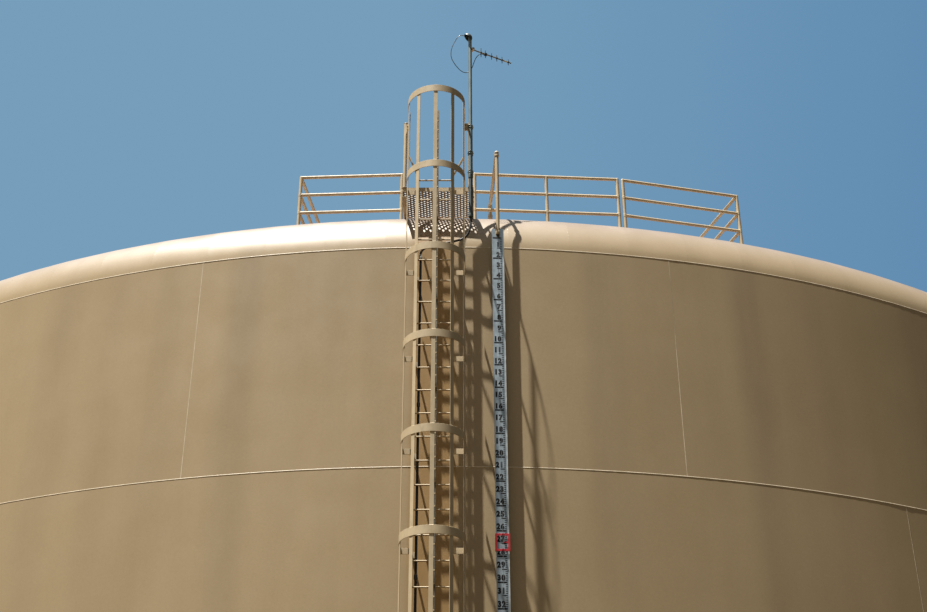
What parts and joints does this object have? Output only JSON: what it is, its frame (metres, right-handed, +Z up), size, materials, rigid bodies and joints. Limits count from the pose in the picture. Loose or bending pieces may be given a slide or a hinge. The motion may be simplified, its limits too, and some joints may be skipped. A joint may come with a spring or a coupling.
{
  "type": "vertical storage tank",
  "caption": "Flat-bottomed welded steel tank with a rounded roof edge, caged ladder, landing, roof railing, level gauge with a sliding target, and an aerial mast.",
  "frame": {"origin": "centre of the underside of the bottom plate", "axes": "+Z up; the ladder stands at the -Y side; +X is to the right of someone facing the ladder"},
  "size_m": [27.5302, 28.3061, 14.368],
  "materials": {
    "tank_paint": "tan satin paint, sun-bleached, with dark dirt runs",
    "ladder_paint": "the same tan paint on bars and pipes, a little darker, with grime at joints",
    "galvanised_steel": "dull zinc, mottled, rust spots at the notches",
    "board_aluminium": "blue-grey anodised sheet with black numbers and lines",
    "wire_steel": "stranded bright wire",
    "black_plastic": "weathered black",
    "target_red": "red enamel, faded"
  },
  "bodies": {
    "tank": {"shell_course_1_front": "tank_paint", "shell_course_1_right": "tank_paint", "shell_course_1_left": "tank_paint", "shell_course_2_front": "tank_paint", "shell_course_2_right": "tank_paint", "shell_course_2_left": "tank_paint", "shell_course_3_front": "tank_paint", "shell_course_3_right": "tank_paint", "shell_course_3_left": "tank_paint", "shell_course_4_front": "tank_paint", "shell_course_4_right": "tank_paint", "shell_course_4_left": "tank_paint", "roof_knuckle_front": "tank_paint", "roof_knuckle_right": "tank_paint", "roof_knuckle_left": "tank_paint", "bottom_plate": "tank_paint", "roof_cone": "tank_paint", "roof_vent": "tank_paint", "manway_neck": "tank_paint", "manway_cover": "tank_paint", "roof_hatch_curb": "ladder_paint", "roof_hatch_lid": "ladder_paint", "ladder": "ladder_paint", "rail_extension_left": "ladder_paint", "rail_extension_right": "ladder_paint", "cage_top": "ladder_paint", "cage_middle": "ladder_paint", "cage_lower": "ladder_paint", "landing_platform": "ladder_paint", "grab_post_left": "ladder_paint", "grab_post_right": "ladder_paint", "railing_left": "ladder_paint", "railing_middle": "ladder_paint", "railing_right": "ladder_paint", "railing_return_left": "ladder_paint", "railing_return_right": "ladder_paint", "gauge_guide_pipe": "ladder_paint", "climb_rail": "galvanised_steel", "mast": "galvanised_steel", "aerial": "galvanised_steel", "gauge_board": "board_aluminium", "gauge_wire": "wire_steel", "mast_lower_conduit": "black_plastic", "weatherhead": "black_plastic", "conduit_riser": "black_plastic", "flexible_conduit": "black_plastic", "coax_loop": "black_plastic"},
    "target": {"level_target": "target_red"}
  },
  "joints": [
    {"name": "target_slide", "type": "slide", "parent": "tank", "child": "target", "axis": [0, 0, 1], "range_m": [-1.27, 3.95]}
  ]
}
